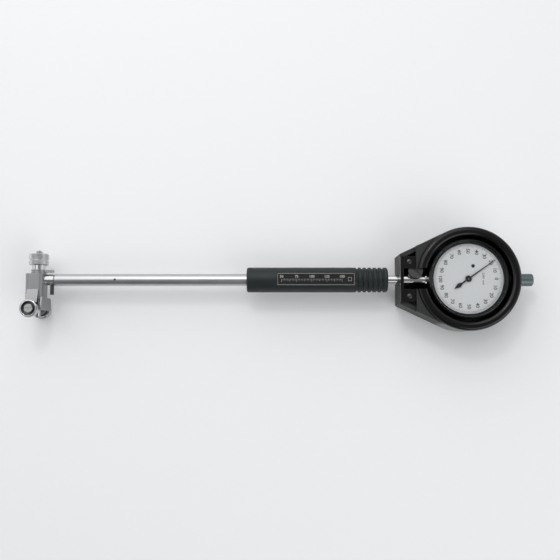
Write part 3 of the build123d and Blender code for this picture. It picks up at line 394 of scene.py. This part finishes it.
# Centring bridge: a stamped and ground steel yoke across the head, which slides on two pins and presses
# the rollers against the bore.
finish_node("guide_bridge", satin_steel)


# Bridge's springs: two coils of hard wire round the guide pins, from the pockets in the block to the
# bridge's plate. They push the bridge outwards; here they are one fixed mesh that keeps its length.
coiling, coiling_in, coiling_out = new_modifier_tree("coil of wire on each point", {
    "Turns": "NodeSocketFloat", "Coil Radius": "NodeSocketFloat", "Length": "NodeSocketFloat",
    "Wire Radius": "NodeSocketFloat", "Steel": "NodeSocketMaterial",
})
helix = add(coiling, "GeometryNodeCurveSpiral", {
    "Resolution": 20, "Rotations": coiling_in["Turns"], "Start Radius": coiling_in["Coil Radius"],
    "End Radius": coiling_in["Coil Radius"], "Height": coiling_in["Length"],
})
wire = add(coiling, "GeometryNodeCurvePrimitiveCircle", {
    "Resolution": 8, "Radius": coiling_in["Wire Radius"],
})
wound = add(coiling, "GeometryNodeCurveToMesh", {
    "Curve": helix.outputs["Curve"], "Profile Curve": wire.outputs["Curve"], "Fill Caps": True,
})
coils = add(coiling, "GeometryNodeInstanceOnPoints", {
    "Points": coiling_in["Geometry"], "Instance": wound.outputs["Mesh"],
})
coils_real = add(coiling, "GeometryNodeRealizeInstances", {"Geometry": coils.outputs["Instances"]})
coat_and_end(coiling, coiling_out, coils_real.outputs["Geometry"], coiling_in["Steel"])

pins_low, pins_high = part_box("guide_pins")
pin_radius = 0.0009
pocket_depth = 0.006
pins_in_plate = 0.0022
spring_wire = 0.00016
pocket_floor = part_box("head_body")[0].y + pocket_depth
spring_end = pins_low.y + pins_in_plate
spring_length = pocket_floor - spring_end - 2 * spring_wire
spring_places = [(0, z - bar_z, 0) for z in (pins_low.z + pin_radius, pins_high.z - pin_radius)]
spring_points = bpy.data.meshes.new("spring_points")
spring_points.from_pydata(spring_places, [], [])
spring_source = new_source("spring_source", spring_points)
run_tree(spring_source, coiling, Turns=13.0, Coil_Radius=0.00115, Length=spring_length,
         Wire_Radius=spring_wire, Steel=hard_steel)
spring_mesh = evaluated_mesh("bridge_springs", spring_source)
spring_start = Matrix.Translation((line_x, pocket_floor - spring_wire, bar_z))
spring_mesh.transform(spring_start @ Matrix.Rotation(math.pi / 2, 4, "X"))
bridge_springs = new_source("bridge_springs", spring_mesh)
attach(bridge_springs, "gauge")
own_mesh(bridge_springs)


# Rollers: hardened steel rings, ground and polished on the rim and dished round the screw, with painted shade
# darkening the dish. Each turns freely on a slotted shoulder screw in the bridge.
roller_low, roller_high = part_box("upper_roller")
roller_radius = (roller_high.x - roller_low.x) / 2
roller_rim = 0.0013
rim_slope = 0.0003
roller_steel = start_finish("roller_steel", (0.58, 0.58, 0.58), metallic=1.0, roughness=0.14)
roller_marks = place_around(roller_steel.node_tree, "Z", (*middle_of("upper_roller")[:2], 0))
mark_surface(roller_steel, fineness=4800, depth=0.000006, gloss_spread=0.04, tint=0.15, place=roller_marks)
roller_spot = take_apart(roller_steel.node_tree, roller_marks)
recess_edge = roller_radius - roller_rim
# painted shade: the dish round the screw is given a dark colour and more roughness
recess_shade = rise(roller_steel.node_tree, roller_spot["X"], recess_edge - rim_slope, recess_edge,
              low=1.0, high=0.0)
change_where(roller_steel, recess_shade, (0.10, 0.10, 0.105), roughness=0.38)
for name in ("upper_roller", "lower_roller"):
    finish_node(name, roller_steel, edge=0.0004)


# Tube: drawn steel tube with a satin chrome finish, brushed along its length. Two plastic bushes inside it
# guide the push rod, and a dark pin through its wall holds the front one.
tube_steel = start_finish("tube_steel", (0.53, 0.53, 0.54), metallic=1.0, roughness=0.35)
mark_surface(tube_steel, fineness=6000, depth=0.0000012, gloss_spread=0.02, tint=0.06,
             place=place_on(tube_steel.node_tree, scale=(0.1, 1, 1)))
finish_node("tube", tube_steel)
bush_plastic = start_finish("bush_plastic", (0.75, 0.73, 0.66), metallic=0.0, roughness=0.4)
mark_surface(bush_plastic, fineness=2500, depth=0.00001, gloss_spread=0.05, tint=0.1)
for name in ("front_rod_bush", "rear_rod_bush"):
    finish_node(name, bush_plastic)
pin_dark = start_finish("pin_dark", (0.035, 0.036, 0.045), metallic=1.0, roughness=0.45)
mark_surface(pin_dark, fineness=6500, depth=0.00001, gloss_spread=0.05, tint=0.25)
finish_node("bush_pin", pin_dark, edge=0.00005)


# Grip: moulded sleeve of dark green-grey plastic with a fine eroded skin and six ribs near the dial, so
# that the hand's warmth stays off the tube.
grip_plastic = start_finish("grip_plastic", (0.0085, 0.0135, 0.0145), metallic=0.0, roughness=0.5, IOR=1.45)
mark_surface(grip_plastic, fineness=2600, depth=0.00005, gloss_spread=0.06, tint=0.35)
wear_edges(grip_plastic, (0.030, 0.040, 0.041), roughness=0.36, width=0.0006)
finish_node("grip", grip_plastic, edge=0.0002)


# Label plate: thin black anodised aluminium, glued into its flat on the grip, with a printed frame, a row
# of numbers over a row of ticks, and a small square.
label_black = start_finish("label_black", (0.006, 0.006, 0.007), metallic=0.0, roughness=0.3, IOR=1.45)
mark_surface(label_black, fineness=3800, depth=0.000004, gloss_spread=0.04, tint=0.3,
             place=place_on(label_black.node_tree, scale=(0.2, 1, 1)))
wear_edges(label_black, (0.20, 0.20, 0.19), roughness=0.3, width=0.0002)
finish_node("label_plate", label_black)
print_white = start_finish("print_white", (0.50, 0.51, 0.46), metallic=0.0, roughness=0.5)
mark_surface(print_white, fineness=3000, depth=0.000004, gloss_spread=0.05, tint=0.15)

ticks, ticks_in, ticks_out = new_modifier_tree("ticks on each point", {
    "Long Every": "NodeSocketInt", "Middle Every": "NodeSocketInt",
    "Long": "NodeSocketFloat", "Middle": "NodeSocketFloat", "Short": "NodeSocketFloat",
    "Width": "NodeSocketFloat", "Thickness": "NodeSocketFloat", "Ink": "NodeSocketMaterial",
})
index = add(ticks, "GeometryNodeInputIndex").outputs["Index"]


def where_each(every, length, others):
    """A tick's own length where its number divides by another, and what the others have elsewhere."""
    rest = add(ticks, "FunctionNodeIntegerMath", {0: index, 1: ticks_in[every]}, operation="MODULO")
    found = add(ticks, "FunctionNodeCompare", {2: rest.outputs[0], 3: 0}, data_type="INT", operation="EQUAL")
    chosen = add(ticks, "GeometryNodeSwitch", {
        "Switch": found.outputs["Result"], "False": others, "True": ticks_in[length],
    }, input_type="FLOAT")
    return chosen.outputs["Output"]


tick_length = where_each("Middle Every", "Middle", ticks_in["Short"])
tick_length = where_each("Long Every", "Long", tick_length)
bar = add(ticks, "GeometryNodeMeshCube")
slid = add(ticks, "GeometryNodeTransform", {"Geometry": bar.outputs["Mesh"], "Translation": (-0.5, 0, 0.5)})
size = put_together(ticks, X=tick_length, Y=ticks_in["Width"], Z=ticks_in["Thickness"])
turn = add(ticks, "GeometryNodeInputNamedAttribute", {"Name": "turn"}, data_type="FLOAT")
set_out = add(ticks, "GeometryNodeInstanceOnPoints", {
    "Points": ticks_in["Geometry"], "Instance": slid.outputs["Geometry"],
    "Rotation": put_together(ticks, Z=turn.outputs["Attribute"]), "Scale": size,
})
ticks_real = add(ticks, "GeometryNodeRealizeInstances", {"Geometry": set_out.outputs["Instances"]})
coat_and_end(ticks, ticks_out, ticks_real.outputs["Geometry"], ticks_in["Ink"])
ink = 0.00002
figure_share = 0.7


def print_ticks(name, places, **inputs):
    """A row or ring of ticks as one plain mesh; each place is a point and the turn of its tick."""
    points = bpy.data.meshes.new(name + "_points")
    points.from_pydata([place for place, angle in places], [], [])
    angles = points.attributes.new("turn", "FLOAT", "POINT")
    angles.data.foreach_set("value", [angle for place, angle in places])
    source = new_source(name + "_points", points)
    run_tree(source, ticks, Long_Every=10, Middle_Every=5, Thickness=ink, **inputs)
    return evaluated_mesh(name, source)


def letter(words, height, bold):
    """Lettering about the origin as a mesh, as thick as the ink, with its strokes made bolder."""
    face = bpy.data.curves.new(words, "FONT")
    face.body = words
    face.size = height / figure_share
    face.align_x = "CENTER"
    face.align_y = "CENTER"
    face.extrude = ink / 2
    face.offset = bold
    face.resolution_u = 3
    return evaluated_mesh(words, new_source(words, face))


def join_meshes(name, parts, material):
    """One object from meshes, each with its place."""
    whole = bmesh.new()
    for mesh, place in parts:
        before = len(whole.verts)
        whole.from_mesh(mesh)
        whole.verts.ensure_lookup_table()
        bmesh.ops.transform(whole, matrix=place, verts=whole.verts[before:])
    joined = keep_shape(name, whole)
    joined.materials.clear()
    joined.materials.append(material)
    joined.polygons.foreach_set("material_index", [0] * len(joined.polygons))
    return new_source(name, joined)


def flat_bar(length, width):
    """A thin closed bar lying about the origin, as thick as the ink."""
    shape = bmesh.new()
    bmesh.ops.create_cube(shape, size=1)
    bmesh.ops.scale(shape, vec=(length, width, ink), verts=shape.verts)
    return keep_shape("bar", shape)


line_width = 0.0002
frame_inset = 0.0006
label_low, label_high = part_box("label_plate")
label_mid = (label_low + label_high) / 2
label_top = label_high.z
ink_level = label_top + ink / 2
frame_length = label_high.x - label_low.x - 2 * frame_inset
frame_width = label_high.y - label_low.y - 2 * frame_inset
label_parts = []
for side in (-1, 1):
    long_line = Matrix.Translation((label_mid.x, side * frame_width / 2, ink_level))
    short_line = Matrix.Translation((label_mid.x + side * frame_length / 2, 0, ink_level))
    label_parts.append((flat_bar(frame_length + line_width, line_width), long_line))
    label_parts.append((flat_bar(line_width, frame_width + line_width), short_line))
tick_count = 41
tick_step = 0.00108
tick_start = label_low.x + 0.0034
tick_level = 0.0002
tick_places = [((tick_start + tick_step * i, tick_level, label_top), math.pi / 2) for i in range(tick_count)]
label_ticks = print_ticks("label_ticks", tick_places, Long=0.0022, Middle=0.0017, Short=0.0012,
                          Width=0.00016, Ink=print_white)
label_parts.append((label_ticks, Matrix.Identity(4)))
figure_level = 0.0018
for i, value in enumerate((50, 75, 100, 125, 150)):
    spot = Matrix.Translation((tick_start + 10 * tick_step * i, figure_level, ink_level))
    label_parts.append((letter(str(value), height=0.0018, bold=0.00004), spot))
square_half = 0.0012
square_inset = 0.0038
square_middle = Matrix.Translation((label_high.x - square_inset, 0, ink_level))
for side in (-1, 1):
    for quarter in (0, math.pi / 2):
        off = Matrix.Rotation(quarter, 4, "Z") @ Matrix.Translation((0, side * square_half, 0))
        label_parts.append((flat_bar(2 * square_half + line_width, line_width), square_middle @ off))
label_print = join_meshes("label_print", label_parts, print_white)
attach(label_print, "gauge")


# Clamp: a turned neck that ends in a slit collar for the dial's turned stem, closed by a round-headed coin
# screw of polished steel that draws on a nut under the ears. Screw and nut are coloured dark as a painted
# reflection of dark surroundings, and their bright rubbed edges are partly wear and partly a painted
# highlight.
bar_steel = start_finish("bar_steel", (0.60, 0.60, 0.59), metallic=1.0, roughness=0.14)
mark_surface(bar_steel, fineness=5200, depth=0.000006, gloss_spread=0.04, tint=0.12,
             place=place_around(bar_steel.node_tree, "X", (0, 0, bar_z)))
for name in ("dial_clamp", "stem"):
    finish_node(name, bar_steel)
# painted reflection: the polished screw and nut are given a dark colour for the dark surroundings they mirror
clamp_steel = start_finish("clamp_steel", (0.22, 0.215, 0.21), metallic=1.0, roughness=0.24)
mark_surface(clamp_steel, fineness=5200, depth=0.000012, gloss_spread=0.05, tint=0.3,
             place=place_around(clamp_steel.node_tree, "Z", (*middle_of("clamp_screw")[:2], 0)))
# bright rubbed edges, partly wear and partly a painted highlight on the lit rim
wear_edges(clamp_steel, (0.66, 0.65, 0.63), roughness=0.16, width=0.0004)
for name in ("clamp_screw", "clamp_nut"):
    finish_node(name, clamp_steel, edge=0.0003)


# Dial's case, back and bezel: aluminium, turned and painted black, with a sprung bezel that turns the
# printed face to zero.
case_black = start_finish("case_black", (0.003, 0.003, 0.0035), metallic=0.0, roughness=0.22, IOR=1.4)
mark_surface(case_black, fineness=3600, depth=0.0000012, gloss_spread=0.04, tint=0.3)
wear_edges(case_black, (0.030, 0.030, 0.031), roughness=0.3, width=0.0004)
for name in ("dial_case", "back_cover", "bezel"):
    finish_node(name, case_black)


# Movement: brass plates, pillars and wheels around turned steel arbors and the spindle with its rack. Small
# steel screws close the back cover over it.
brass = start_finish("brass", (0.66, 0.46, 0.20), metallic=1.0, roughness=0.26)
mark_surface(brass, fineness=5200, depth=0.00001, gloss_spread=0.06, tint=0.15)
for name in ("first_wheel", "second_wheel", "rear_plate", "front_plate", "plate_pillars", "centre_cock"):
    finish_node(name, brass, edge=0.00004)
for name in ("back_screws", "spindle", "spindle_tip", "first_arbor", "second_arbor", "centre_arbor"):
    finish_node(name, hard_steel, edge=0.00004)


# Spindle's cap: turned aluminium with a satin grey-green anodised skin. It is screwed on the case's upper
# boss and covers the spindle's end.
cap_grey = start_finish("cap_grey", (0.16, 0.20, 0.20), metallic=1.0, roughness=0.4)
mark_surface(cap_grey, fineness=4200, depth=0.00001, gloss_spread=0.05, tint=0.2,
             place=place_around(cap_grey.node_tree, "X", (0, 0, bar_z)))
finish_node("spindle_cap", cap_grey)


# Dial face: a white disc printed in black with two hundred divisions, numbered both ways from zero at the
# cap's side, and a small dot. It is held in the bezel and turns with it.
def round_dial(radius, level, i, count):
    """The place of one of a number of marks round the dial, and its angle."""
    angle = math.pi / 2 - math.tau * i / count
    return (radius * math.cos(angle), radius * math.sin(angle), level), angle


face_white = start_finish("face_white", (0.72, 0.72, 0.725), metallic=0.0, roughness=0.45)
mark_surface(face_white, fineness=2600, depth=0.000004, gloss_spread=0.05, tint=0.05)
finish_node("dial_face", face_white, edge=0)
print_black = start_finish("print_black", (0.015, 0.015, 0.016), metallic=0.0, roughness=0.5)
mark_surface(print_black, fineness=3000, depth=0.000004, gloss_spread=0.05, tint=0.3)
dial_x = middle_of("dial_face")[0]
dial_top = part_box("dial_face")[1].z
dial_turn = Matrix.Translation((dial_x, 0, dial_top)) @ Matrix.Rotation(-math.pi / 2, 4, "Z")
divisions = 200
ring_radius = 0.0245
ring_places = [round_dial(ring_radius, 0, i, divisions) for i in range(divisions)]
ring_ticks = print_ticks("dial_ticks", ring_places, Long=0.0024, Middle=0.0019, Short=0.0014,
                         Width=0.00013, Ink=print_black)
dial_parts = [(ring_ticks, dial_turn)]
number_count = 20
number_radius = 0.0199
for i in range(number_count):
    place, angle = round_dial(number_radius, ink / 2, i, number_count)
    number = letter(str(10 * min(i, number_count - i)), height=0.0025, bold=0.00005)
    dial_parts.append((number, dial_turn @ Matrix.Translation(place)))
unit_place = Matrix.Translation((0, 0.0107, ink / 2))
dial_parts.append((letter("0.001 mm", height=0.0015, bold=0.00002), dial_turn @ unit_place))
dot_radius = 0.0013
dot_place = Matrix.Translation((-0.0092, 0.0035, ink / 2))
dot = bmesh.new()
bmesh.ops.create_cone(dot, cap_ends=True, segments=40, radius1=dot_radius, radius2=dot_radius, depth=ink)
dial_parts.append((keep_shape("dot", dot), dial_turn @ dot_place))
dial_print = join_meshes("dial_print", dial_parts, print_black)
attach(dial_print, "bezel")


# Pointer: a thin stamped steel hand, blackened, with a leaf-shaped tail that balances it. Its hub is pressed
# on the centre arbor.
pointer_black = start_finish("pointer_black", (0.014, 0.014, 0.015), metallic=0.0, roughness=0.3)
mark_surface(pointer_black, fineness=3000, depth=0.000004, gloss_spread=0.05, tint=0.3)
finish_node("pointer", pointer_black, edge=0.00004)


# Crystal: a slightly domed window of clear moulded plastic. It is snapped into its seat in the bezel and
# turns with it.
crystal_clear = bpy.data.materials.new("crystal_clear")
crystal_clear.use_nodes = True
clear = crystal_clear.node_tree
clear.nodes.remove(clear.nodes["Principled BSDF"])
through = add(clear, "ShaderNodeBsdfTransparent", {"Color": (0.98, 0.985, 0.985, 1)})
gloss = add(clear, "ShaderNodeBsdfAnisotropic", {"Roughness": 0.04})
mirror = add(clear, "ShaderNodeFresnel", {"IOR": 1.49})
outside = add(clear, "ShaderNodeNewGeometry")
inside_off = reckon(clear, "SUBTRACT", 1.0, outside.outputs["Backfacing"])
mirror_out = reckon(clear, "MULTIPLY", mirror.outputs["Fac"], inside_off)
skin = add(clear, "ShaderNodeMixShader", {
    0: mirror_out, 1: through.outputs["BSDF"], 2: gloss.outputs["BSDF"],
})
clear.links.new(skin.outputs["Shader"], clear.nodes["Material Output"].inputs["Surface"])
finish_node("crystal", crystal_clear, edge=0)


# Protection cover: one black moulding round the dial, polished on its ring and grained on its foot. Two
# blackened screws hold a keeper plate, painted black, over the stem.
ring_edge = 0.0370
foot_start = 0.0375
cover_plastic = start_finish("cover_plastic", (0.003, 0.003, 0.0035), metallic=0.0, roughness=0.17, IOR=1.4)
mark_surface(cover_plastic, fineness=2600, depth=0.000006, gloss_spread=0.03, tint=0.3)
cover_tree = cover_plastic.node_tree
cover_spot = take_apart(cover_tree, place_around(cover_tree, "Z", (dial_x, 0, 0)))
foot = rise(cover_tree, cover_spot["X"], ring_edge, foot_start)
change_where(cover_plastic, foot, (0.025, 0.026, 0.026), roughness=0.52)
wear_edges(cover_plastic, (0.020, 0.020, 0.0205), roughness=0.26, width=0.0003)
finish_node("protection_cover", cover_plastic, edge=0.0002)
finish_node("keeper_plate", case_black)
finish_node("keeper_screws", black_screw, edge=0.00008)


# Floor, lamps and camera: a wide pale table under three soft boxes, in a room that is brighter towards its
# walls. The camera looks down from almost straight above.
floor_shape = bmesh.new()
bmesh.ops.create_grid(floor_shape, x_segments=1, y_segments=1, size=15)
floor = new_source("floor", keep_shape("floor", floor_shape))
floor.data.materials.append(start_finish("floor_pale", (0.93, 0.93, 0.93), metallic=0.0, roughness=0.8))


def hang_lamp(name, place, size, power):
    """A square soft box that looks at the gauge."""
    light = bpy.data.lights.new(name, "AREA")
    light.shape = "SQUARE"
    light.size = size
    light.energy = power
    lamp = new_source(name, light)
    lamp.location = place
    lamp.rotation_euler = (-Vector(place)).to_track_quat("-Z", "Y").to_euler()


hang_lamp("key_lamp", (-0.35, 0.85, 0.95), size=1.8, power=12)
hang_lamp("fill_lamp", (0.8, -0.9, 0.8), size=1.2, power=6.5)
hang_lamp("glint_lamp", (-0.15, 0.5, 0.8), size=0.12, power=0.8)
room_glow, window_glow, wall_glow = 0.29, 0.18, 1.0
sky = bpy.data.worlds.new("sky")
sky.use_nodes = True
room = sky.node_tree
looking = take_apart(room, add(room, "ShaderNodeTexCoord").outputs["Generated"])
window = reckon(room, "MULTIPLY_ADD", looking["Y"], window_glow, room_glow)
walls = reckon(room, "MULTIPLY", looking["X"], looking["X"])
low_walls = reckon(room, "MULTIPLY", walls, walls)
level = reckon(room, "MULTIPLY_ADD", low_walls, wall_glow, window)
air = room.nodes["Background"]
air.inputs["Color"].default_value = (0.95, 0.97, 1.0, 1)
room.links.new(level, air.inputs["Strength"])
bpy.context.scene.world = sky

camera_tilt = math.radians(5)
camera_far = 0.55
film_width = 36
gauge_share = 0.9
middle = (Vector(cad_box[0]) + Vector(cad_box[1])) / 2
lens = bpy.data.cameras.new("camera")
lens.sensor_width = film_width
lens.lens = film_width * camera_far / ((cad_box[1][0] - cad_box[0][0]) / gauge_share)
camera = new_source("camera", lens)
camera.location = middle + camera_far * Vector((0, -math.sin(camera_tilt), math.cos(camera_tilt)))
camera.rotation_euler = (camera_tilt, 0, 0)
bpy.context.scene.camera = camera
bpy.context.scene.view_settings.view_transform = "Standard"
